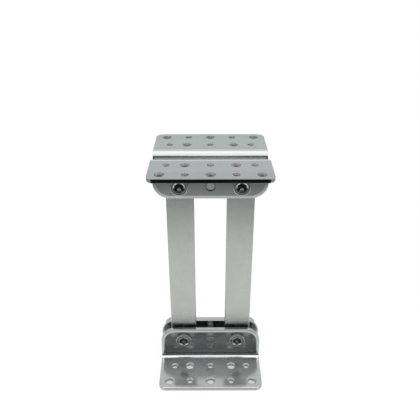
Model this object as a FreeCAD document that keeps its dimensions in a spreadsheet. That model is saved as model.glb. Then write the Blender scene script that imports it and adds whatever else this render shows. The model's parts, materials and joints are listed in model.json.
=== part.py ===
import FreeCAD, Part
import math
import os

import Sketcher

# A backrest swing hinge: two pairs of bent brackets joined by two parallel flat arms.
# Lengths in millimetres. X runs along the brackets, Y from front to rear, Z upwards.
# The base stands on Z = 0 and the middle of the gap between the brackets is Y = 0.

SIZES = {
    # brackets
    "bracket_width": 100.0,
    "sheet_thickness": 4.0,
    "bend_inner_radius": 4.0,
    "flange_depth": 42.2,
    "plate_height": 38.0,
    "flange_corner_radius": 6.5,
    "plate_corner_radius": 15.0,
    "edge_roll_width": 3.0,
    "edge_roll_depth": 0.3,
    "rolled_edge_radius": 0.9,
    "mounting_edge_radius": 0.3,
    # mounting holes
    "large_hole_diameter": 8.0,
    "small_hole_diameter": 6.0,
    "outer_row_edge_distance": 8.8,
    "inner_row_distance": 14.2,
    "outer_column_margin": 10.0,
    "inner_column_margin": 14.0,
    "inner_row_stagger": 0.8,
    "hole_lip_radius": 0.6,
    # linkage
    "pivot_spacing": 54.0,
    "pivot_edge_distance": 12.0,
    "arm_length": 172.0,
    "arm_width": 25.0,
    "arm_thickness": 5.0,
    "arm_edge_radius": 0.8,
    "arm_play": 0.05,
    # pivots
    "screw_diameter": 8.0,
    "screw_hole_clearance": 0.4,
    "head_diameter": 15.0,
    "head_height": 2.6,
    "head_edge_radius": 0.5,
    "socket_across_flats": 8.0,
    "socket_depth": 2.1,
    "socket_rim_diameter": 10.6,
    "socket_rim_depth": 0.5,
    "thread_root_diameter": 6.8,
    "thread_run_out": 3.0,
    "thread_end_chamfer": 0.6,
    "head_washer_diameter": 14.2,
    "head_washer_thickness": 0.8,
    "bush_diameter": 12.0,
    "bush_bore_clearance": 0.2,
    "pivot_clearance": 0.16,
    "spacer_diameter": 19.0,
    "spacer_thickness": 2.45,
    "ring_edge_radius": 0.3,
    "nut_across_flats": 13.0,
    "nut_hex_height": 6.0,
    "nut_collar_diameter": 11.4,
    "nut_collar_height": 1.8,
    "nut_corner_chamfer": 0.5,
    "nut_thread_clearance": 0.06,
    # stop pins
    "stop_diameter": 11.0,
    "stop_tenon_diameter": 8.5,
    "stop_tenon_clearance": 0.04,
    "stop_end_height": 1.0,
    "stop_end_radius": 0.5,
}

document = FreeCAD.newDocument("swing_hinge")
sheet = document.addObject("Spreadsheet::Sheet", "Sizes")
for row, (alias, number) in enumerate(SIZES.items(), start=1):
    sheet.set("A%d" % row, alias)
    sheet.set("B%d" % row, str(number))
    sheet.setAlias("B%d" % row, alias)
document.recompute()


class Size:
    """A number together with the sheet expression that gives it."""

    def __init__(self, value, text):
        self.value = value
        self.text = text

    @staticmethod
    def of(other):
        return other if isinstance(other, Size) else Size(float(other), repr(float(other)))

    def joined(self, sign, other, value):
        return Size(value, "(%s %s %s)" % (self.text, sign, other.text))

    def __add__(self, other):
        other = Size.of(other)
        return self.joined("+", other, self.value + other.value)

    def __sub__(self, other):
        other = Size.of(other)
        return self.joined("-", other, self.value - other.value)

    def __mul__(self, other):
        other = Size.of(other)
        return self.joined("*", other, self.value * other.value)

    def __truediv__(self, other):
        other = Size.of(other)
        return self.joined("/", other, self.value / other.value)

    def __rsub__(self, other):
        return Size.of(other) - self

    def __neg__(self):
        return Size.of(0) - self

    __radd__ = __add__
    __rmul__ = __mul__


def cell(alias):
    return Size(float(sheet.get(alias)), "Sizes." + alias)


width = cell("bracket_width")
thickness = cell("sheet_thickness")
bend_inner = cell("bend_inner_radius")
bend_outer = bend_inner + thickness
flange_end = thickness + cell("flange_depth")
plate_end = cell("plate_height")
arm_length = cell("arm_length")
arm_thickness = cell("arm_thickness")
arm_width = cell("arm_width")
gap = arm_thickness + 2 * (cell("spacer_thickness") + cell("arm_play"))
pivot_x = cell("pivot_spacing") / 2
pivot_z = plate_end - cell("pivot_edge_distance")
top_pivot_z = pivot_z + arm_length
total_height = top_pivot_z + pivot_z
plate_face = gap / 2 + thickness
screw_radius = cell("screw_diameter") / 2
screw_hole_radius = screw_radius + cell("screw_hole_clearance") / 2
bush_radius = cell("bush_diameter") / 2
stop_tenon_radius = cell("stop_tenon_diameter") / 2
nut_height = cell("nut_hex_height") + cell("nut_collar_height")
screw_grip = cell("head_washer_thickness") + 2 * thickness + gap
ring_edge = cell("ring_edge_radius")


def bind(target, path, size):
    target.setExpression(path, Size.of(size).text)


def new_body(label):
    body = document.addObject("PartDesign::Body", label)
    body.Label = label
    return body


def place(body, x, y, z, axis=FreeCAD.Vector(0, 0, 1), angle=0):
    x, y, z = Size.of(x), Size.of(y), Size.of(z)
    position = FreeCAD.Vector(x.value, y.value, z.value)
    body.Placement = FreeCAD.Placement(position, FreeCAD.Rotation(axis, angle))
    for letter, size in (("x", x), ("y", y), ("z", z)):
        bind(body, "Placement.Base." + letter, size)


def new_sketch(body, role, label, offset=None):
    plane = next(item for item in body.Origin.OriginFeatures if item.Role == role)
    sketch = body.newObject("Sketcher::SketchObject", label)
    sketch.AttachmentSupport = [(plane, "")]
    sketch.MapMode = "FlatFace"
    if offset is not None:
        bind(sketch, "AttachmentOffset.Base.z", offset)
    return sketch


def constrain(sketch, kind, items, size):
    index = sketch.addConstraint(Sketcher.Constraint(kind, *items, size.value))
    bind(sketch, "Constraints[%d]" % index, size)


def fix_point(sketch, geometry, point, x, y):
    """Holds a point at a distance from the sketch origin along each axis."""
    for kind, size, axis in (("DistanceX", Size.of(x), -2), ("DistanceY", Size.of(y), -1)):
        if abs(size.value) < 1e-9:
            sketch.addConstraint(Sketcher.Constraint("PointOnObject", geometry, point, axis))
        elif size.value > 0:
            constrain(sketch, kind, (-1, 1, geometry, point), size)
        else:
            constrain(sketch, kind, (geometry, point, -1, 1), -size)


def vector(x, y):
    return FreeCAD.Vector(Size.of(x).value, Size.of(y).value, 0)


def arc_between(start, end, radius, turn):
    """The arc from start to end, counter-clockwise for turn = 1 and clockwise for turn = -1."""
    chord = end - start
    half = chord.Length / 2
    rise = math.sqrt(max(radius * radius - half * half, 0.0))
    side = FreeCAD.Vector(-chord.y, chord.x, 0) / chord.Length
    centre = (start + end) / 2 + side * rise * turn
    first, last = (start, end) if turn > 0 else (end, start)
    angles = [math.atan2(point.y - centre.y, point.x - centre.x) for point in (first, last)]
    circle = Part.Circle(centre, FreeCAD.Vector(0, 0, 1), radius)
    return Part.ArcOfCircle(circle, angles[0], angles[1])


def draw_outline(sketch, points):
    """Draws a closed outline. A point is (x, y), or (x, y, radius, turn) when an arc leaves it."""
    count = len(points)
    starts = []
    for index, point in enumerate(points):
        following = points[(index + 1) % count]
        start, end = vector(*point[:2]), vector(*following[:2])
        if len(point) == 2:
            geometry = sketch.addGeometry(Part.LineSegment(start, end))
            starts.append((geometry, 1, 2))
        else:
            radius, turn = point[2:]
            geometry = sketch.addGeometry(arc_between(start, end, radius.value, turn))
            starts.append((geometry, 1, 2) if turn > 0 else (geometry, 2, 1))
    for index, point in enumerate(points):
        geometry, first, last = starts[index]
        after, after_first, _ = starts[(index + 1) % count]
        join = Sketcher.Constraint("Coincident", geometry, last, after, after_first)
        sketch.addConstraint(join)
        fix_point(sketch, geometry, first, *point[:2])
        if len(point) == 4:
            constrain(sketch, "Radius", (geometry,), point[2])


def draw_circle(sketch, x, y, radius):
    centre = vector(x, y)
    circle = Part.Circle(centre, FreeCAD.Vector(0, 0, 1), radius.value)
    geometry = sketch.addGeometry(circle)
    fix_point(sketch, geometry, 3, x, y)
    constrain(sketch, "Radius", (geometry,), radius)


def pad(body, sketch, length, label, symmetric=False):
    feature = body.newObject("PartDesign::Pad", label)
    feature.Profile = sketch
    feature.SideType = "Symmetric" if symmetric else "One side"
    bind(feature, "Length", length)
    document.recompute()
    return feature


def pocket(body, sketch, label, length=None, into_normal=False, taper=None):
    """Cuts a sketch out of the body and stops the build when nothing was removed."""
    before = body.Shape.Volume
    feature = body.newObject("PartDesign::Pocket", label)
    feature.Profile = sketch
    feature.Reversed = into_normal
    if length is None:
        feature.Type = "ThroughAll"
    else:
        bind(feature, "Length", length)
    if taper is not None:
        bind(feature, "TaperAngle", taper)
    document.recompute()
    if feature.Shape.Volume > before - 1e-3:
        raise RuntimeError("the cut %s removed nothing" % label)
    return feature


def revolve(body, sketch, label, kind="PartDesign::Revolution"):
    feature = body.newObject(kind, label)
    feature.Profile = sketch
    feature.ReferenceAxis = (sketch, ["V_Axis"])
    feature.Angle = 360
    document.recompute()
    return feature


def fillet(body, base, wanted, radius, label):
    """Rounds the edges of a feature for which wanted(edge) is true, and all that runs on from them."""
    edges = base.Shape.Edges
    names = ["Edge%d" % (index + 1) for index, edge in enumerate(edges) if wanted(edge)]
    feature = body.newObject("PartDesign::Fillet", label)
    feature.Base = (base, names)
    bind(feature, "Radius", radius)
    document.recompute()
    return feature


def roll_edge(body, base, wanted, across, deep, label):
    """Slopes the skin down to the cut edge that wanted(edge) picks, and along all that runs on from it."""
    edges = base.Shape.Edges
    names = ["Edge%d" % (index + 1) for index, edge in enumerate(edges) if wanted(edge)]
    feature = body.newObject("PartDesign::Chamfer", label)
    feature.Base = (base, names)
    feature.ChamferType = "Two distances"
    bind(feature, "Size", across)
    bind(feature, "Size2", deep)
    document.recompute()
    return feature


def middle(edge):
    return edge.valueAt((edge.FirstParameter + edge.LastParameter) / 2)


def near(first, second):
    return abs(first - second) < 1e-4


# Brackets: an L of bent sheet, with its mounting face on Z = 0 and its plate's inner face on Y = 0


def make_bracket(label):
    body = new_body(label)
    profile = new_sketch(body, "YZ_Plane", label + "_profile")
    draw_outline(profile, [
        (-flange_end, 0),
        (-bend_outer, 0, bend_outer, 1),
        (0, bend_outer),
        (0, plate_end),
        (-thickness, plate_end),
        (-thickness, bend_outer, bend_inner, -1),
        (-bend_outer, thickness),
        (-flange_end, thickness),
    ])
    blank = pad(body, profile, width, label + "_blank", symmetric=True)

    def flange_corner(edge):
        point = middle(edge)
        return near(abs(point.x), width.value / 2) and near(point.y, -flange_end.value)

    def plate_corner(edge):
        point = middle(edge)
        return near(abs(point.x), width.value / 2) and near(point.z, plate_end.value)

    corner_radius = cell("flange_corner_radius")
    flange = fillet(body, blank, flange_corner, corner_radius, label + "_flange_corners")
    plate_radius = cell("plate_corner_radius")
    plate = fillet(body, flange, plate_corner, plate_radius, label + "_plate_corners")

    def inner_rim(edge):
        point = middle(edge)
        return near(point.y, -flange_end.value) and near(point.z, thickness.value)

    roll_width = cell("edge_roll_width")
    roll_depth = cell("edge_roll_depth")
    rolled = roll_edge(body, plate, inner_rim, roll_width, roll_depth, label + "_rolled_edge")

    def rolled_rim(edge):
        point = middle(edge)
        return near(point.y, -flange_end.value) and near(point.z, thickness.value - roll_depth.value)

    def mounting_rim(edge):
        point = middle(edge)
        return near(point.y, -flange_end.value) and near(point.z, 0)

    rounded = fillet(body, rolled, rolled_rim, cell("rolled_edge_radius"), label + "_inner_edge")
    fillet(body, rounded, mounting_rim, cell("mounting_edge_radius"), label + "_mounting_edge")

    holes = new_sketch(body, "XY_Plane", label + "_mounting_holes")
    large = cell("large_hole_diameter") / 2
    small = cell("small_hole_diameter") / 2
    outer_row = cell("outer_row_edge_distance") - flange_end
    inner_row = -(thickness + cell("inner_row_distance"))
    outer_column = width / 2 - cell("outer_column_margin")
    inner_column = width / 2 - cell("inner_column_margin")
    outer_middle = outer_column / 2
    inner_middle = outer_middle + cell("inner_row_stagger")
    draw_circle(holes, 0, outer_row, large)
    draw_circle(holes, 0, inner_row, small)
    for side in (-1, 1):
        draw_circle(holes, outer_column * side, outer_row, large)
        draw_circle(holes, outer_middle * side, outer_row, small)
        draw_circle(holes, inner_middle * side, inner_row, large)
        draw_circle(holes, inner_column * side, inner_row, small)
    drilled = pocket(body, holes, label + "_mounting_cut", length=2 * thickness, into_normal=True)

    def hole_lip(edge):
        return edge.isClosed() and near(middle(edge).z, thickness.value)

    fillet(body, drilled, hole_lip, cell("hole_lip_radius"), label + "_hole_lips")

    pivots = new_sketch(body, "XZ_Plane", label + "_pivot_holes")
    draw_circle(pivots, 0, pivot_z, stop_tenon_radius + cell("stop_tenon_clearance") / 2)
    for side in (-1, 1):
        draw_circle(pivots, pivot_x * side, pivot_z, screw_hole_radius)
    pocket(body, pivots, label + "_pivot_cut", length=2 * thickness, into_normal=True)
    return body


# Arms: flat bars with full round ends, the lower bore on the local origin


def make_arm(label):
    body = new_body(label)
    outline = new_sketch(body, "XZ_Plane", label + "_outline")
    end_radius = arm_width / 2
    draw_outline(outline, [
        (end_radius, 0),
        (end_radius, arm_length, end_radius, 1),
        (0, arm_length + end_radius, end_radius, 1),
        (-end_radius, arm_length),
        (-end_radius, 0, end_radius, 1),
        (0, -end_radius, end_radius, 1),
    ])
    bore = bush_radius + cell("pivot_clearance") / 2
    draw_circle(outline, 0, 0, bore)
    draw_circle(outline, 0, arm_length, bore)
    bar = pad(body, outline, arm_thickness, label + "_bar", symmetric=True)

    def side_face(face):
        surface = face.Surface
        if isinstance(surface, Part.Cylinder):
            return near(surface.Radius, end_radius.value)
        return not near(abs(face.normalAt(0, 0).y), 1)

    def rounded(edge):
        sides = bar.Shape.ancestorsOfType(edge, Part.Face)
        return sum(side_face(side) for side in sides) == 1 and not bored(edge)

    def bored(edge):
        return isinstance(edge.Curve, Part.Circle) and near(edge.Curve.Radius, bore.value)

    fillet(body, bar, rounded, cell("arm_edge_radius"), label + "_edges")
    return body


# Turned pieces: half profiles of radius and place along Y, turned about Y


def make_ring(label, bore, radius, length, edge):
    """A plain ring from Y = 0 to its length, with its outer edges rounded."""
    body = new_body(label)
    half = new_sketch(body, "XY_Plane", label + "_half")
    draw_outline(half, [
        (bore, 0),
        (radius - edge, 0, edge, 1),
        (radius, edge),
        (radius, length - edge, edge, 1),
        (radius - edge, length),
        (bore, length),
    ])
    revolve(body, half, label + "_ring")
    return body


def make_screw(label):
    """A flat-headed screw with a hexagon socket, the seat of its head on Y = 0."""
    body = new_body(label)
    half = new_sketch(body, "XY_Plane", label + "_half")
    head_radius = cell("head_diameter") / 2
    head_height = cell("head_height")
    head_edge = cell("head_edge_radius")
    root = cell("thread_root_diameter") / 2
    chamfer = cell("thread_end_chamfer")
    nut_end = screw_grip + nut_height
    end = nut_end + cell("thread_run_out")
    draw_outline(half, [
        (0, -head_height),
        (head_radius - head_edge, -head_height, head_edge, 1),
        (head_radius, head_edge - head_height),
        (head_radius, 0),
        (screw_radius, 0),
        (screw_radius, nut_end),
        (root, nut_end),
        (root, end - chamfer),
        (root - chamfer, end),
        (0, end),
    ])
    revolve(body, half, label + "_turned")

    socket = new_sketch(body, "XZ_Plane", label + "_socket", offset=head_height)
    flat = cell("socket_across_flats") / 2
    corner = flat * (2 / math.sqrt(3))
    draw_outline(socket, [
        (flat, -(corner / 2)), (flat, corner / 2), (0, corner),
        (-flat, corner / 2), (-flat, -(corner / 2)), (0, -corner),
    ])
    pocket(body, socket, label + "_socket_cut", length=cell("socket_depth"))

    rim = new_sketch(body, "XY_Plane", label + "_socket_rim")
    rim_floor = cell("socket_rim_depth") - head_height
    draw_outline(rim, [
        (0, -head_height),
        (cell("socket_rim_diameter") / 2, -head_height),
        (flat, rim_floor),
        (0, rim_floor),
    ])
    revolve(body, rim, label + "_socket_rim_cut", kind="PartDesign::Groove")
    return body


def make_nut(label):
    """A hexagon lock nut with a round collar, its seat on Y = 0."""
    body = new_body(label)
    hexagon = new_sketch(body, "XZ_Plane", label + "_hexagon")
    flat = cell("nut_across_flats") / 2
    corner = flat * (2 / math.sqrt(3))
    draw_outline(hexagon, [
        (corner, 0), (corner / 2, flat), (-(corner / 2), flat),
        (-corner, 0), (-(corner / 2), -flat), (corner / 2, -flat),
    ])
    block = pad(body, hexagon, cell("nut_hex_height"), label + "_block")
    block.Reversed = True
    document.recompute()

    collar = new_sketch(body, "XY_Plane", label + "_collar")
    hex_height = cell("nut_hex_height")
    collar_radius = cell("nut_collar_diameter") / 2
    collar_edge = cell("nut_collar_height") / 2
    draw_outline(collar, [
        (0, 0),
        (collar_radius, 0),
        (collar_radius, nut_height - collar_edge, collar_edge, 1),
        (collar_radius - collar_edge, nut_height),
        (0, nut_height),
    ])
    revolve(body, collar, label + "_collar_turned")

    chamfer = cell("nut_corner_chamfer")
    bevel = new_sketch(body, "XY_Plane", label + "_bevel")
    reach = corner - flat
    for level, towards in ((Size.of(0), 1), (hex_height, -1)):
        draw_outline(bevel, [
            (flat, level),
            (corner + chamfer, level),
            (corner + chamfer, level + (reach + chamfer) * (towards * math.tan(math.radians(30)))),
        ])
    revolve(body, bevel, label + "_bevel_cut", kind="PartDesign::Groove")

    bore = new_sketch(body, "XZ_Plane", label + "_bore")
    draw_circle(bore, 0, 0, screw_radius + cell("nut_thread_clearance") / 2)
    pocket(body, bore, label + "_bore_cut", length=2 * nut_height)
    return body


def make_stop(label):
    """A shouldered pin whose ends pass through both plates and are headed over."""
    body = new_body(label)
    half = new_sketch(body, "XY_Plane", label + "_half")
    radius = cell("stop_diameter") / 2
    end = plate_face + cell("stop_end_height")
    round_end = cell("stop_end_radius")
    draw_outline(half, [
        (0, -end),
        (stop_tenon_radius - round_end, -end, round_end, 1),
        (stop_tenon_radius, -end + round_end),
        (stop_tenon_radius, -(gap / 2)),
        (radius, -(gap / 2)),
        (radius, gap / 2),
        (stop_tenon_radius, gap / 2),
        (stop_tenon_radius, end - round_end, round_end, 1),
        (stop_tenon_radius - round_end, end),
        (0, end),
    ])
    revolve(body, half, label + "_turned")
    return body


# Assembly

bodies = []


def put(body, *where):
    place(body, *where)
    bodies.append(body)


AROUND_X = FreeCAD.Vector(1, 0, 0)
AROUND_Y = FreeCAD.Vector(0, 1, 0)
AROUND_Z = FreeCAD.Vector(0, 0, 1)

put(make_bracket("base_front_bracket"), 0, -(gap / 2), 0)
put(make_bracket("base_rear_bracket"), 0, gap / 2, 0, AROUND_Z, 180)
put(make_bracket("top_front_bracket"), 0, -(gap / 2), total_height, AROUND_Y, 180)
put(make_bracket("top_rear_bracket"), 0, gap / 2, total_height, AROUND_X, 180)

for name, side in (("left", -1), ("right", 1)):
    put(make_arm(name + "_arm"), pivot_x * side, 0, pivot_z)

washer_thickness = cell("head_washer_thickness")
washer_radius = cell("head_washer_diameter") / 2
spacer_radius = cell("spacer_diameter") / 2
spacer_thickness = cell("spacer_thickness")
spacer_bore = bush_radius + cell("pivot_clearance") / 2
bush_bore = screw_radius + cell("bush_bore_clearance") / 2

for group, level in (("base", pivot_z), ("top", top_pivot_z)):
    put(make_stop(group + "_stop_pin"), 0, 0, level)
    for name, side in (("left", -1), ("right", 1)):
        pivot = group + "_" + name
        across = pivot_x * side
        put(make_screw(pivot + "_pivot_screw"), across, -(plate_face + washer_thickness), level)
        washer = make_ring(
            pivot + "_head_washer", screw_hole_radius, washer_radius, washer_thickness, ring_edge
        )
        put(washer, across, -(plate_face + washer_thickness), level)
        put(make_ring(pivot + "_bush", bush_bore, bush_radius, gap, ring_edge), across, -(gap / 2), level)
        for end, start in (("front", -(gap / 2)), ("rear", gap / 2 - spacer_thickness)):
            spacer = make_ring(
                pivot + "_" + end + "_spacer", spacer_bore, spacer_radius, spacer_thickness, ring_edge
            )
            put(spacer, across, start, level)
        put(make_nut(pivot + "_lock_nut"), across, plate_face, level)

document.recompute()

# Checks and files

for item in document.Objects:
    if "Invalid" in item.State or "Error" in item.State:
        raise RuntimeError("%s is %s" % (item.Label, item.State))

os.makedirs("parts", exist_ok=True)
for body in bodies:
    shape = body.Shape
    if shape.isNull() or not shape.isValid() or len(shape.Solids) != 1:
        raise RuntimeError("%s has no single valid solid" % body.Label)
    shape.exportStep("parts/%s.step" % body.Label)
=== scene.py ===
import json
import math

import bpy
import numpy as np
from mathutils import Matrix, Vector


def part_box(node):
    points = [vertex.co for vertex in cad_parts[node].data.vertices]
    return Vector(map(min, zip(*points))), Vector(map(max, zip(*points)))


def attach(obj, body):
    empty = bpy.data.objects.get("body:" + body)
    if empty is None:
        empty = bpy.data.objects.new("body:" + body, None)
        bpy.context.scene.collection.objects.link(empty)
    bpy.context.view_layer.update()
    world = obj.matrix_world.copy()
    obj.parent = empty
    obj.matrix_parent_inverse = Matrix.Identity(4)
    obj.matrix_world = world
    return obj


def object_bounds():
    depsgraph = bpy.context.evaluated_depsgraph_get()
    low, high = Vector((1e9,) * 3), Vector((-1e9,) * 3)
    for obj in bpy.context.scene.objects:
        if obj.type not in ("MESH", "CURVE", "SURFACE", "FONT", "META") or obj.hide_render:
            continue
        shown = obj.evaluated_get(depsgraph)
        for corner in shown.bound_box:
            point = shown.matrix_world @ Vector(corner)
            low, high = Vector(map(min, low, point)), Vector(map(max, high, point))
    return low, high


# A zinc plated backrest swing hinge on a white studio floor. Lengths in metres.

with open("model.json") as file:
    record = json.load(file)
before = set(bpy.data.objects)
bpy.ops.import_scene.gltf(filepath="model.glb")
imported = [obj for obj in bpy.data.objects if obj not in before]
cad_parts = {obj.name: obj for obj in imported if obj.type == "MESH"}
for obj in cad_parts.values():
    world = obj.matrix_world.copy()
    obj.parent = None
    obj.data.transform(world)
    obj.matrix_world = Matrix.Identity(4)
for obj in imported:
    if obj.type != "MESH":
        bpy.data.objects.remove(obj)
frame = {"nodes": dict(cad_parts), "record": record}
cad_low, cad_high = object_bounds()
nodes = frame["nodes"]
scene = bpy.context.scene
scene.view_settings.view_transform = "Standard"
HALF_WIDTH, HALF_DEPTH, FULL_HEIGHT = cad_high
MILLIMETRE = 0.001
SOFT = 0.2 * MILLIMETRE
BUMP_HEIGHT = 0.1 * MILLIMETRE
BLACK = (0.0, 0.0, 0.0)
WHITE = (1.0, 1.0, 1.0)


class Value:
    """A node socket that can stand in an expression: arithmetic on it adds Math nodes."""

    def __init__(self, tree, socket):
        self.tree = tree
        self.socket = socket

    def node(self, kind, settings=(), inputs=(), output=0):
        """Adds a node of a kind: its settings are set first, then the values or links of its sockets."""
        made = self.tree.nodes.new(kind)
        for name, setting in dict(settings).items():
            setattr(made, name, setting)
        for key, given in dict(inputs).items():
            if isinstance(given, Value):
                self.tree.links.new(given.socket, made.inputs[key])
            else:
                made.inputs[key].default_value = given
        return Value(self.tree, made.outputs[output] if len(made.outputs) else None)

    def math(self, operation, first, second=0.0):
        return self.node("ShaderNodeMath", {"operation": operation}, {0: first, 1: second})

    def __add__(self, other):
        return self.math("ADD", self, other)

    def __sub__(self, other):
        return self.math("SUBTRACT", self, other)

    def __rsub__(self, other):
        return self.math("SUBTRACT", other, self)

    def __mul__(self, other):
        return self.math("MULTIPLY", self, other)

    def __abs__(self):
        return self.math("ABSOLUTE", self)

    __radd__ = __add__
    __rmul__ = __mul__

    def sign(self):
        return self.math("SIGN", self)

    def larger(self, other):
        return self.math("MAXIMUM", self, other)

    def smaller(self, other):
        return self.math("MINIMUM", self, other)

    def reach(self, other):
        """The distance from an axis, when the two values are the distances along two square directions."""
        return self.math("SQRT", self * self + other * other)

    def part(self, axis):
        """One coordinate of a vector."""
        return self.node("ShaderNodeSeparateXYZ", {}, {"Vector": self}, output=axis)

    def between(self, low, high, rise="SMOOTHSTEP"):
        """0 below low, 1 above high and a rise from one to the other, smooth unless it is LINEAR."""
        limits = {"Value": self, "From Min": low, "From Max": high}
        return self.node("ShaderNodeMapRange", {"interpolation_type": rise}, limits)

    def below(self, low, high):
        """1 below low, 0 above high and a smooth fall from one to the other."""
        return 1 - self.between(low, high)

    def past(self, edge):
        """0 up to an edge and 1 past it, with a narrow smooth step."""
        return self.between(edge, edge + SOFT)

    def before(self, edge):
        """1 up to an edge and 0 past it, with a narrow smooth step."""
        return 1 - self.past(edge)

    def tint(self, first, second):
        """The first colour where the value is 0, the second where it is 1."""
        sockets = {0: self}
        for key, colour in ((6, first), (7, second)):
            sockets[key] = colour if isinstance(colour, Value) else (*colour, 1.0)
        return self.node("ShaderNodeMix", {"data_type": "RGBA"}, sockets, output=2)

    def stretched(self, scale):
        return self.node("ShaderNodeMapping", {}, {"Vector": self, "Scale": scale})

    def noise(self, scale, detail=2.0, rough=0.5):
        sockets = {"Vector": self, "Scale": scale, "Detail": detail, "Roughness": rough}
        return self.node("ShaderNodeTexNoise", {}, sockets)

    def bump(self, strength):
        """The surface normal after this height is laid on it."""
        sockets = {"Height": self, "Strength": strength, "Distance": BUMP_HEIGHT}
        return self.node("ShaderNodeBump", {}, sockets)

    def finish(self, kind="ShaderNodeOutputMaterial"):
        """Joins this shader to the output of its material or world."""
        self.node(kind, {}, {"Surface": self})


def object_place(holder):
    """Clears the nodes of a material or world and gives the Object coordinates to start from."""
    holder.use_nodes = True
    holder.node_tree.nodes.clear()
    return Value(holder.node_tree, None).node("ShaderNodeTexCoord", {}, {}, output="Object")


def new_material(name):
    """A material with nothing in it but its coordinates."""
    material = bpy.data.materials.new(name)
    return material, object_place(material)


def plated(material, colour, metal, roughness, normal):
    """Closes a material with the sockets of its one shader."""
    sockets = {"Base Color": colour, "Metallic": metal, "Roughness": roughness, "Normal": normal}
    colour.node("ShaderNodeBsdfPrincipled", {}, sockets).finish()
    return material


# Bracket tones: milky flanges, and painted light and shade on the holes, bends, crowns and edges

SHEET = 4.0 * MILLIMETRE
HALF_HEIGHT = FULL_HEIGHT / 2
MID_HEIGHT = (0.4 * FULL_HEIGHT, 0.6 * FULL_HEIGHT)
FLANGE_START = (12.0 * MILLIMETRE, 20.0 * MILLIMETRE)
FLANGE_OUTER = (0.65 * HALF_DEPTH, 0.8 * HALF_DEPTH)
BASE_MILK = 0.28
TOP_MILK = 0.24
OUTER_THIN = 0.6
# painted shade: the top brackets' flanges take a darker, bluer tone than the base's
TOP_FLANGE_SHADE = (0.345, 0.395, 0.40)
TOP_SHADE_SHARE = 0.5
HOLE_MARGIN = 4.6 * MILLIMETRE
HOLE_START = 14.0 * MILLIMETRE
HOLE_NEAR = (0.03 * SHEET, 0.07 * SHEET)
HOLE_FAR = (0.93 * SHEET, 0.97 * SHEET)
HOLE_FADE = (0.25 * SHEET, 0.95 * SHEET)
# painted light on the hole walls: shade in their depths and a highlight on their upper brims
HOLE_DEPTH_SHADE = (0.22, 0.225, 0.225)
HOLE_BRIM_HIGHLIGHT = (0.95, 0.96, 0.955)
HOLE_DULL = 0.2
BEND_START = 9.2 * MILLIMETRE
BEND_END = (13.5 * MILLIMETRE, 20.0 * MILLIMETRE)
BEND_LEVEL = (SHEET - SOFT, SHEET - 0.5 * SOFT)
# painted highlight on the inner side of the bends
BEND_HIGHLIGHT = (0.70, 0.72, 0.722)
CROWN_END = (13.3 * MILLIMETRE, 14.8 * MILLIMETRE)
CROWN_SHIFT = 1.8 * MILLIMETRE
CROWN_LEVEL = (0.4 * SHEET, 0.8 * SHEET)
# painted highlights on the crowns of the top brackets' bends, stronger on the front bracket
FRONT_CROWN_HIGHLIGHT = (0.72, 0.73, 0.73)
REAR_CROWN_HIGHLIGHT = (0.54, 0.555, 0.552)
FOOT_LEVEL = (8.0 * MILLIMETRE, 26.0 * MILLIMETRE)
FOOT_FACE = (8.9 * MILLIMETRE, 8.94 * MILLIMETRE)
FOOT_SHADE = (0.22, 0.236, 0.236)
LIP = 0.6 * MILLIMETRE
LIP_SHADE = (0.10, 0.102, 0.102)
FACE_DEPTH = (HALF_DEPTH - SOFT, HALF_DEPTH - 0.5 * SOFT)
FACE_ZINC = (0.40, 0.392, 0.388)
LINE_DEPTH = (HALF_DEPTH - 2 * LIP, HALF_DEPTH - LIP)
LINE_LEVEL = (0.6 * SHEET, 0.7 * SHEET)
# painted highlight along the rounded edges at the flanges' outer ends
EDGE_LINE_HIGHLIGHT = (0.74, 0.745, 0.75)


def hole_walls(place, level, depth):
    """1 on the walls of the mounting holes: inside the sheet and clear of its outer edges and bend."""
    within = level.between(*HOLE_NEAR) * level.below(*HOLE_FAR)
    across = abs(place.part("X")).before(HALF_WIDTH - HOLE_MARGIN)
    along = depth.past(HOLE_START) * depth.before(HALF_DEPTH - HOLE_MARGIN)
    return within * across * along


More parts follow.
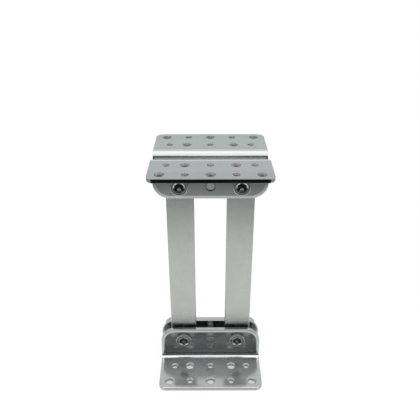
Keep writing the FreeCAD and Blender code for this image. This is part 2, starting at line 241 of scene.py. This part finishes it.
def bracket_tones(place, colour):
    """The colour of a bracket, its share of bare metal and the dullness of its holes. Many of its tones
    are painted light and shade.

    Each tone is laid over the last with a mask of soft steps in level, the height off the nearer mounting
    face, in depth, the distance from the middle plane, and in raised, which is 1 on the top brackets.
    """
    level = HALF_HEIGHT - abs(place.part("Z") - HALF_HEIGHT)
    depth = abs(place.part("Y"))
    raised = place.part("Z").between(*MID_HEIGHT)
    rear = place.part("Y").between(-SOFT, SOFT)
    flange = depth.between(*FLANGE_START)
    punched = hole_walls(place, level, depth)
    # painted highlight on the upper brims of the hole walls, fading to painted shade in their depths
    upward = level + raised * (SHEET - 2 * level)
    painted_wall = upward.between(*HOLE_FADE, "LINEAR").tint(HOLE_DEPTH_SHADE, HOLE_BRIM_HIGHLIGHT)
    colour = punched.tint(colour, painted_wall)
    # painted shade on the top brackets' flanges, clear of the holes
    shaded_top_flange = flange * raised * (1 - punched)
    colour = (TOP_SHADE_SHARE * shaded_top_flange).tint(colour, TOP_FLANGE_SHADE)
    # painted highlight on the inner side of the bends and the start of the flanges
    bend = depth.past(BEND_START) * depth.below(*BEND_END) * level.between(*BEND_LEVEL)
    colour = bend.tint(colour, BEND_HIGHLIGHT)
    # painted highlight on the crowns of the top brackets' bends, stronger on the front bracket
    crown_highlight = (depth + CROWN_SHIFT * rear).below(*CROWN_END) * level.below(*CROWN_LEVEL) * raised
    colour = crown_highlight.tint(colour, rear.tint(FRONT_CROWN_HIGHLIGHT, REAR_CROWN_HIGHLIGHT))
    # painted shade on the outer faces of the base brackets' plates, low down near the bends
    foot = level.below(*FOOT_LEVEL) * depth.between(*FOOT_FACE) * depth.before(BEND_START) * (1 - raised)
    colour = foot.tint(colour, FOOT_SHADE)
    # painted highlight along the rounded edge at the flanges' outer ends, beside outer cut faces a little
    # darker and warmer
    face = depth.between(*FACE_DEPTH)
    edge_highlight = depth.between(*LINE_DEPTH) * (1 - face) * level.between(*LINE_LEVEL)
    colour = edge_highlight.tint(face.tint(colour, FACE_ZINC), EDGE_LINE_HIGHLIGHT)
    # painted shade: the outer ends of the top brackets' flanges dark
    lip = depth.past(HALF_DEPTH - LIP) * raised
    colour = lip.tint(colour, LIP_SHADE)
    milk = BASE_MILK - (BASE_MILK - TOP_MILK) * raised
    thinned = 1 - OUTER_THIN * depth.between(*FLANGE_OUTER)
    milky = flange * milk * thinned * (1 - lip)
    return colour, 1 - milky, punched * HOLE_DULL


# Plated sheet and bar

DRAWN_GRAIN = (1500.0, 30.0, 30.0)
CLOUD_SCALE = 38.0
CLOUD_STEP = (0.32, 0.68)
CLOUD_SHARE = 0.6
PATCH_SCALE = 160.0
PATCH_STEP = (0.38, 0.7)
FROST_SCALE = 900.0
LINE_SHARE = 0.6
SHEET_MEAN = 1.3


def zinc_sheet(name, cool, warm, roughness, grain, blotch, bracket):
    """Plated sheet or bar: a cloudy two-tone tint, faint drawn lines and a fine frosting.

    The lines are a noise with fine steps across X and long runs along Y and Z.
    """
    material, place = new_material(name)
    cloud = place.noise(CLOUD_SCALE, 3.0, 0.55).between(*CLOUD_STEP)
    patch = place.noise(PATCH_SCALE, 4.0, 0.6).between(*PATCH_STEP)
    frost = place.noise(FROST_SCALE, 2.0, 0.6)
    lines = place.stretched(DRAWN_GRAIN).noise(1.0, 3.0, 0.6)
    colour = (cloud * CLOUD_SHARE + patch * (1 - CLOUD_SHARE)).tint(cool, warm)
    gloss = (cloud * CLOUD_SHARE + frost + lines - SHEET_MEAN) * blotch + roughness
    metal = 1.0
    if bracket:
        colour, metal, dull = bracket_tones(place, colour)
        gloss = gloss + dull
    height = lines * LINE_SHARE + frost * (1 - LINE_SHARE)
    return plated(material, colour, metal, gloss, height.bump(grain))


# Turned screws, washers, bushes and nuts, about the four pivots

screw_low, screw_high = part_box("base_left_pivot_screw")
nut_low, nut_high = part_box("base_left_lock_nut")
top_low, top_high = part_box("top_left_pivot_screw")
PIVOT_SIDE = abs(screw_low[0] + screw_high[0]) / 2
PIVOT_LOW = (screw_low[2] + screw_high[2]) / 2
PIVOT_HIGH = (top_low[2] + top_high[2]) / 2
PIVOT_MIDDLE = (PIVOT_LOW + PIVOT_HIGH) / 2
HEAD_FACE = screw_low[1]
NUT_END = nut_high[1]
SCREW_END = screw_high[1]
SOCKET_REACH = 4.7 * MILLIMETRE
SOCKET_WALL = (0.96 * SOCKET_REACH, SOCKET_REACH)
SOCKET_FLOOR = (1.9 * MILLIMETRE, 2.05 * MILLIMETRE)
# painted shade on the socket floors, darker on the top pivots, with painted highlights of two light facets
LOW_SOCKET_SHADE = (0.09, 0.09, 0.09)
FACET_SPLIT = (0.04 * SOCKET_REACH, 0.09 * SOCKET_REACH)
FACET_TOP = (-0.2 * SOCKET_REACH, 0.1 * SOCKET_REACH)
FACET_SIDE = (-0.1 * SOCKET_REACH, 0.1 * SOCKET_REACH)
FACET_SLOPE = 1.6
FACET_HIGHLIGHT = (0.75, 0.76, 0.755)
SCREW_NECK = 2.4 * MILLIMETRE
RING_INNER = 5.7 * MILLIMETRE
RING_OUTER = 6.5 * MILLIMETRE
# painted shade: a dark ring on the screw heads, darker on the top pivots
RING_SHADE = (0.14, 0.145, 0.145)
LOW_RING_SHADE = (0.24, 0.245, 0.245)
HEAD_FLANK = 7.3 * MILLIMETRE
# painted light and shade on the head flanks: light on their lower side, dark on their upper side
FLANK_UNDER_LIGHT = (0.80, 0.80, 0.80)
FLANK_OVER_SHADE = (0.20, 0.205, 0.205)
FLANK_DULL = 0.3
FLANK_MILK = 0.8
LATHE_SCALE = 4500.0
LATHE_SHARE = 0.7
TURNED_FROST = 1600.0
TURNED_GRAIN = 0.15
FINE_CLOUD = 220.0
FINE_STEP = (0.3, 0.7)
GLOSS_SPREAD = 0.1


def fine_cloud(place):
    """A small cloudy pattern from 0 to 1."""
    return place.noise(FINE_CLOUD, 3.0, 0.55).between(*FINE_STEP)


def turned_zinc(name, cool, warm, shade, roughness):
    """Plated turned steel: lathe rings about the nearest pivot, and painted shade in a dark ring on the
    head and a dark socket.

    The distance to the nearest pivot axis folds X about the middle and Z about mid height, so one pattern
    serves all the pivots. The socket's floor is painted dark as shade, with two painted highlights, light
    facets, below its middle. The painted shade is darker on the top pivots, and the head's flank is
    painted light below and dark above.
    """
    material, place = new_material(name)
    across = abs(place.part("X")) - PIVOT_SIDE
    above = place.part("Z") - PIVOT_MIDDLE
    upward = abs(above) - (PIVOT_HIGH - PIVOT_MIDDLE)
    distance = across.reach(upward)
    depth = place.part("Y") - HEAD_FACE
    aside = abs(across)
    rise = upward * above.sign()
    high = above.between(-SOCKET_REACH, SOCKET_REACH)
    sockets = {"W": distance, "Scale": LATHE_SCALE, "Detail": 2.0}
    lathe = place.node("ShaderNodeTexNoise", {"noise_dimensions": "1D"}, sockets)
    frost = place.noise(TURNED_FROST)
    # painted shade: a dark ring on each head, darker on the top pivots
    ring = distance.past(RING_INNER) * distance.before(RING_OUTER)
    colour = ring.tint(fine_cloud(place).tint(cool, warm), high.tint(LOW_RING_SHADE, RING_SHADE))
    # painted light below the axis and painted shade above it on the head flanks
    flank = distance.past(HEAD_FLANK)
    colour = flank.tint(colour, rise.between(-HEAD_FLANK, HEAD_FLANK).tint(FLANK_UNDER_LIGHT, FLANK_OVER_SHADE))
    # painted highlights: two light facets on the socket floor below its middle
    facet_highlight = aside.between(*FACET_SPLIT) * rise.below(*FACET_TOP)
    facet_highlight = facet_highlight * (aside * FACET_SLOPE + rise).below(*FACET_SIDE)
    # painted shade on the socket floor, darker on the top pivots
    socket = distance.below(*SOCKET_WALL) * depth.between(*SOCKET_FLOOR) * depth.before(SCREW_NECK)
    colour = socket.tint(colour, facet_highlight.tint(high.tint(LOW_SOCKET_SHADE, shade), FACET_HIGHLIGHT))
    gloss = (lathe + frost - 1.0) * GLOSS_SPREAD + flank * FLANK_DULL + roughness
    height = lathe * LATHE_SHARE + frost * (1 - LATHE_SHARE)
    return plated(material, colour, 1 - FLANK_MILK * flank, gloss, height.bump(TURNED_GRAIN))


# Stop pins and plastic

PIN_FACE = 3.6 * MILLIMETRE
PIN_LIFT = 0.9 * MILLIMETRE
PIN_CRESCENT = (-0.3 * PIN_FACE, 0.3 * PIN_FACE)
PIN_RIM = 3.9 * MILLIMETRE
PIN_SHOULDER = 5.2 * MILLIMETRE
PIN_FROST = 1200.0
PIN_GRAIN = 0.1
MOTTLE_SCALE = 300.0
SKIN_SCALE = 2500.0
SKIN_GRAIN = 0.2


def pin_zinc(name, level, cool, warm, shade, roughness):
    """Plated pin: a cloudy face with a fine frosting, and painted shade in a dark rim and a dark crescent
    below its middle.
    """
    material, place = new_material(name)
    across = place.part("X")
    upward = place.part("Z") - level
    # painted shade: a dark crescent below the middle of the pin's end and a dark rim round it, on the
    # tenons only
    crescent = across.reach(upward - PIN_LIFT).past(PIN_FACE) * upward.below(*PIN_CRESCENT)
    rim = across.reach(upward).past(PIN_RIM)
    tenon = abs(place.part("Y")).past(PIN_SHOULDER)
    cloud = fine_cloud(place)
    frost = place.noise(PIN_FROST)
    colour = (crescent.larger(rim) * tenon).tint(cloud.tint(cool, warm), shade)
    gloss = (cloud + frost - 1.0) * GLOSS_SPREAD + roughness
    return plated(material, colour, 1.0, gloss, frost.bump(PIN_GRAIN))


def nylon(name, dark, pale, roughness):
    """Moulded plastic: a slight mottle and a fine matt skin."""
    material, place = new_material(name)
    mottle = place.noise(MOTTLE_SCALE, 3.0).between(*FINE_STEP)
    skin = place.noise(SKIN_SCALE, 1.0)
    return plated(material, mottle.tint(dark, pale), 0.0, roughness, skin.bump(SKIN_GRAIN))


# Finishes of the pieces

bracket_zinc = zinc_sheet(
    "bracket_zinc", (0.41, 0.440, 0.436), (0.465, 0.490, 0.482),
    roughness=0.145, grain=0.10, blotch=0.05, bracket=True,
)
arm_zinc = zinc_sheet(
    "arm_zinc", (0.43, 0.445, 0.425), (0.48, 0.493, 0.472),
    roughness=0.26, grain=0.03, blotch=0.04, bracket=False,
)
screw_zinc = turned_zinc(
    "screw_zinc", (0.44, 0.455, 0.455), (0.50, 0.51, 0.505), (0.03, 0.03, 0.03), roughness=0.17,
)
low_pin_zinc = pin_zinc(
    "low_pin_zinc", PIVOT_LOW, (0.40, 0.41, 0.41), (0.45, 0.46, 0.455), (0.2, 0.2, 0.2), roughness=0.2,
)
# painted light: the top stop pin is a lighter copy of the base pin's finish, with a darker painted shade
# on its rim
high_pin_lit_zinc = pin_zinc(
    "high_pin_lit_zinc", PIVOT_HIGH, (0.54, 0.55, 0.54), (0.60, 0.61, 0.60), (0.03, 0.03, 0.03), roughness=0.3,
)
spacer_nylon = nylon("spacer_nylon", (0.012, 0.012, 0.013), (0.022, 0.022, 0.023), roughness=0.5)
insert_nylon = nylon("insert_nylon", (0.62, 0.63, 0.60), (0.70, 0.70, 0.67), roughness=0.45)

FINISHES = {
    "bracket_steel": bracket_zinc,
    "arm_steel": arm_zinc,
    "fastener_steel": screw_zinc,
    "spacer_plastic": spacer_nylon,
}
PIN_FINISHES = {"base_stop_pin": low_pin_zinc, "top_stop_pin": high_pin_lit_zinc}
slots = {row["node"]: row["material_slot"] for row in frame["record"]["subparts"]}
for name, node in nodes.items():
    node.data.materials.clear()
    node.data.materials.append(PIN_FINISHES.get(name, FINISHES[slots[name]]))

# Thread ridges and nut inserts at the rear ends of the pivots

FULL_TURN = 2 * math.pi
THREAD_PITCH = 1.25 * MILLIMETRE
THREAD_CLEAR = 0.3 * THREAD_PITCH
THREAD_ROOT = 3.4 * MILLIMETRE
THREAD_CREST = 4.0 * MILLIMETRE
THREAD_BEDDED = 0.15 * MILLIMETRE
THREAD_STEPS = 150
TOOTH_ALONG = np.array([-0.44, -0.10, 0.10, 0.44, 0.0]) * THREAD_PITCH
TOOTH_TALL = np.array([0.0, 1.0, 1.0, 0.0, 0.0]) * (THREAD_CREST - THREAD_ROOT)
TOOTH_BEDDED = np.array([0.5, 0.0, 0.0, 0.5, 1.0]) * THREAD_BEDDED
TIP_CHAMFER = 0.6 * MILLIMETRE
INSERT_INNER = 4.05 * MILLIMETRE
INSERT_OUTER = 5.0 * MILLIMETRE
INSERT_PROUD = 0.3 * MILLIMETRE
INSERT_STEPS = 64
SECTION_STEPS = 20


def wrapped_faces(rows, columns, close_rows):
    """Quads of a grid whose columns always close on themselves, and whose rows may do so too."""
    row = np.arange(rows if close_rows else rows - 1)[:, None]
    column = np.arange(columns)[None, :]
    after_row = (row + 1) % rows
    after_column = (column + 1) % columns
    corners = (
        row * columns + column,
        row * columns + after_column,
        after_row * columns + after_column,
        after_row * columns + column,
    )
    return np.stack(corners, axis=-1).reshape(-1, 4).tolist()


def add_piece(name, points, faces, body, finish):
    """A closed mesh that rides on a body."""
    mesh = bpy.data.meshes.new(name)
    mesh.from_pydata(points.reshape(-1, 3), [], faces)
    mesh.polygons.foreach_set("use_smooth", np.ones(len(mesh.polygons), dtype=bool))
    mesh.materials.append(finish)
    piece = bpy.data.objects.new(name, mesh)
    scene.collection.objects.link(piece)
    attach(piece, body)
    return piece


def about_pivot(centre, radius, angle, depth):
    """Points at a radius and an angle about a pivot axis along Y, at a depth along it."""
    across = centre[0] + radius * np.cos(angle)
    upward = centre[1] + radius * np.sin(angle)
    return np.stack([across, depth, upward], axis=-1)


def thread_points(centre):
    """A helix ridge about a pivot axis.

    At turn angle a the ridge's middle is at start + pitch * a / full turn. Its section is a flat-topped
    tooth: foot, crest, crest, foot, and a floor bedded in the shank. The crest's height rises from the
    root in the first quarter turn and falls to it in the last.
    """
    start = NUT_END + THREAD_CLEAR
    run = SCREW_END - TIP_CHAMFER - start - THREAD_CLEAR
    last = FULL_TURN * run / THREAD_PITCH
    angle = np.linspace(0.0, last, THREAD_STEPS)[:, None]
    lift = np.clip(np.minimum(angle, last - angle) / (FULL_TURN / 4), 0.0, 1.0)
    radius = THREAD_ROOT + TOOTH_TALL * lift - TOOTH_BEDDED
    depth = start + THREAD_PITCH * angle / FULL_TURN + TOOTH_ALONG
    return about_pivot(centre, radius, angle, depth)


def insert_points(centre):
    """A ring about a pivot axis: an ellipse turned round it.

    The ellipse is as wide as the insert and twice as high as the insert stands proud.
    """
    around = np.linspace(0.0, FULL_TURN, INSERT_STEPS, endpoint=False)[:, None]
    section = np.linspace(0.0, FULL_TURN, SECTION_STEPS, endpoint=False)[None, :]
    middle = (INSERT_INNER + INSERT_OUTER) / 2
    radius = middle + (INSERT_OUTER - INSERT_INNER) / 2 * np.cos(section)
    depth = NUT_END + INSERT_PROUD * np.sin(section) + 0 * around
    return about_pivot(centre, radius, around, depth)


for group, level in (("base", PIVOT_LOW), ("top", PIVOT_HIGH)):
    for side, sign in (("left", -1), ("right", 1)):
        centre = (sign * PIVOT_SIDE, level)
        ridge = thread_points(centre)
        rows, columns = ridge.shape[:2]
        ends = [list(range(columns))[::-1], list(range((rows - 1) * columns, rows * columns))]
        faces = wrapped_faces(rows, columns, False) + ends
        add_piece("%s_%s_thread" % (group, side), ridge, faces, group, screw_zinc)
        ring = insert_points(centre)
        faces = wrapped_faces(*ring.shape[:2], True)
        add_piece("%s_%s_insert" % (group, side), ring, faces, group, insert_nylon)

# Studio floor: white, with a painted shadow under the base, and in what the metal mirrors dark far in
# front

FLOOR_HALF = 14.0
FLOOR_WHITE = 0.8
FLOOR_GLOW = 1.06
FLOOR_GREY = (0.82, 0.82, 0.82, 1.0)
FLOOR_ROUGHNESS = 0.9
FRONT_FADE = (-0.51, -0.22)
FRONT_END = (-0.9, -0.66)
SIDE_FADE = (0.10, 0.36)
SIDE_DIM = 0.5
UNDER_WIDTH = (HALF_WIDTH - 6 * MILLIMETRE, HALF_WIDTH - 2 * MILLIMETRE)
UNDER_DEPTH = (HALF_DEPTH - 6 * MILLIMETRE, HALF_DEPTH - 2 * MILLIMETRE)
UNDER_GAP = (10 * MILLIMETRE, 16 * MILLIMETRE)
# painted shadow under the base, deepest under the gap between the brackets
UNDER_SHADOW = 0.42
GAP_SHADOW = 0.43
CARD_GREY = 0.15


def flat_sheet(name, corners, finish):
    """A four-cornered sheet of the studio, from its corners in turn."""
    mesh = bpy.data.meshes.new(name)
    mesh.from_pydata(corners, [], [(0, 1, 2, 3)])
    mesh.materials.append(finish)
    sheet = bpy.data.objects.new(name, mesh)
    scene.collection.objects.link(sheet)
    return sheet


floor_paint, place = new_material("floor_paint")
camera_ray, glossy_ray, clear_ray = (
    place.node("ShaderNodeLightPath", {}, {}, output=ray)
    for ray in ("Is Camera Ray", "Is Glossy Ray", "Is Transmission Ray")
)
forward = place.part("Y")
aside = abs(place.part("X"))
length = abs(forward)
# painted shadow: the floor under the base is dimmed, most under the gap between the brackets
under = aside.below(*UNDER_WIDTH) * length.below(*UNDER_DEPTH)
shadowed_floor = 1 - under * (UNDER_SHADOW + GAP_SHADOW * length.below(*UNDER_GAP))
lit = forward.between(*FRONT_FADE, "LINEAR") + CARD_GREY * forward.below(*FRONT_END)
mirrored = shadowed_floor * lit * (1 - SIDE_DIM * aside.between(*SIDE_FADE))
white = (camera_ray * shadowed_floor + (1 - camera_ray) * mirrored).tint(BLACK, WHITE)
paint_sockets = {"Base Color": FLOOR_GREY, "Roughness": FLOOR_ROUGHNESS}
paint = place.node("ShaderNodeBsdfPrincipled", {}, paint_sockets)
glow = place.node("ShaderNodeEmission", {}, {"Color": white, "Strength": FLOOR_GLOW})
seen = (camera_ray * FLOOR_WHITE + glossy_ray + clear_ray).smaller(1.0)
place.node("ShaderNodeMixShader", {}, {0: seen, 1: paint, 2: glow}).finish()
flat_sheet("floor", [
    (-FLOOR_HALF, -FLOOR_HALF, 0.0),
    (FLOOR_HALF, -FLOOR_HALF, 0.0),
    (FLOOR_HALF, FLOOR_HALF, 0.0),
    (-FLOOR_HALF, FLOOR_HALF, 0.0),
], floor_paint)

# Grey card far in front with a bright band, seen only in the metal

CARD_Y = -1.2
CARD_HALF = 3.0
CARD_TOP = 1.5
DIP_START = (0.05, 0.22)
DIP_END = (0.3, 0.6)
DIP_DEPTH = 0.55
BAND_FOOT = (1.185, 1.205)
BAND_HEAD = (1.29, 1.34)
BAND_GLOW = 1.3
BAND_FALL = 0.9
BAND_SIDE = (0.13, 0.19)
BAND_DIM = 0.6

card_cloth, place = new_material("card_cloth")
height = place.part("Z")
aside = abs(place.part("X"))
dip = aside.between(*DIP_START) - aside.between(*DIP_END)
band = BAND_GLOW * height.between(*BAND_FOOT) - BAND_FALL * height.between(*BAND_HEAD)
shade = CARD_GREY * (1 - DIP_DEPTH * dip) + band * (1 - BAND_DIM * aside.between(*BAND_SIDE))
place.node("ShaderNodeEmission", {}, {"Color": shade, "Strength": 1.0}).finish()
card = flat_sheet("card", [
    (-CARD_HALF, CARD_Y, 0.0),
    (CARD_HALF, CARD_Y, 0.0),
    (CARD_HALF, CARD_Y, CARD_TOP),
    (-CARD_HALF, CARD_Y, CARD_TOP),
], card_cloth)
card.visible_camera = False
card.visible_diffuse = False
card.visible_shadow = False

# White room, a little darker near the horizon in what the metal mirrors, and a soft light overhead

SKY_RISE = (0.48, 0.66)
SKY_LOW = (0.85, 0.85, 0.85)
LAMP_PLACE = Vector((0.0, -0.16, 0.62))
LAMP_AIM = Vector((0.0, -0.16, 0.0))
LAMP_WIDTH = 0.9
LAMP_DEPTH = 0.6
LAMP_WATTS = 1.2

room = bpy.data.worlds.new("white_room")
scene.world = room
direction = object_place(room)
camera_ray = direction.node("ShaderNodeLightPath", {}, {}, output="Is Camera Ray")
sky = direction.part("Z").between(*SKY_RISE).larger(camera_ray).tint(SKY_LOW, WHITE)
backdrop = direction.node("ShaderNodeBackground", {}, {"Color": sky, "Strength": 1.0})
backdrop.finish("ShaderNodeOutputWorld")

lamp = bpy.data.lights.new("overhead", "AREA")
lamp.shape = "RECTANGLE"
lamp.size = LAMP_WIDTH
lamp.size_y = LAMP_DEPTH
lamp.energy = LAMP_WATTS
light = bpy.data.objects.new("overhead", lamp)
light.location = LAMP_PLACE
light.rotation_mode = "QUATERNION"
light.rotation_quaternion = (LAMP_AIM - LAMP_PLACE).to_track_quat("-Z", "Y")
scene.collection.objects.link(light)

# Camera, a little left of the middle and looking down at the front

FRAME_PIXELS = 420
FOCAL_PIXELS = 491.35
SHIFT_PIXELS = -10.0
SENSOR = 36.0
PITCH = math.radians(27.06)
YAW = math.radians(0.2)
CAMERA_PLACE = (-0.00174, -0.38982, 0.37954)

camera_data = bpy.data.cameras.new("camera")
camera_data.sensor_width = SENSOR
camera_data.lens = FOCAL_PIXELS / FRAME_PIXELS * SENSOR
camera_data.shift_y = SHIFT_PIXELS / FRAME_PIXELS
camera = bpy.data.objects.new("camera", camera_data)
camera.location = CAMERA_PLACE
camera.rotation_mode = "QUATERNION"
view = Vector((
    math.sin(YAW) * math.cos(PITCH),
    math.cos(YAW) * math.cos(PITCH),
    -math.sin(PITCH),
))
camera.rotation_quaternion = view.to_track_quat("-Z", "Y")
scene.collection.objects.link(camera)
scene.camera = camera
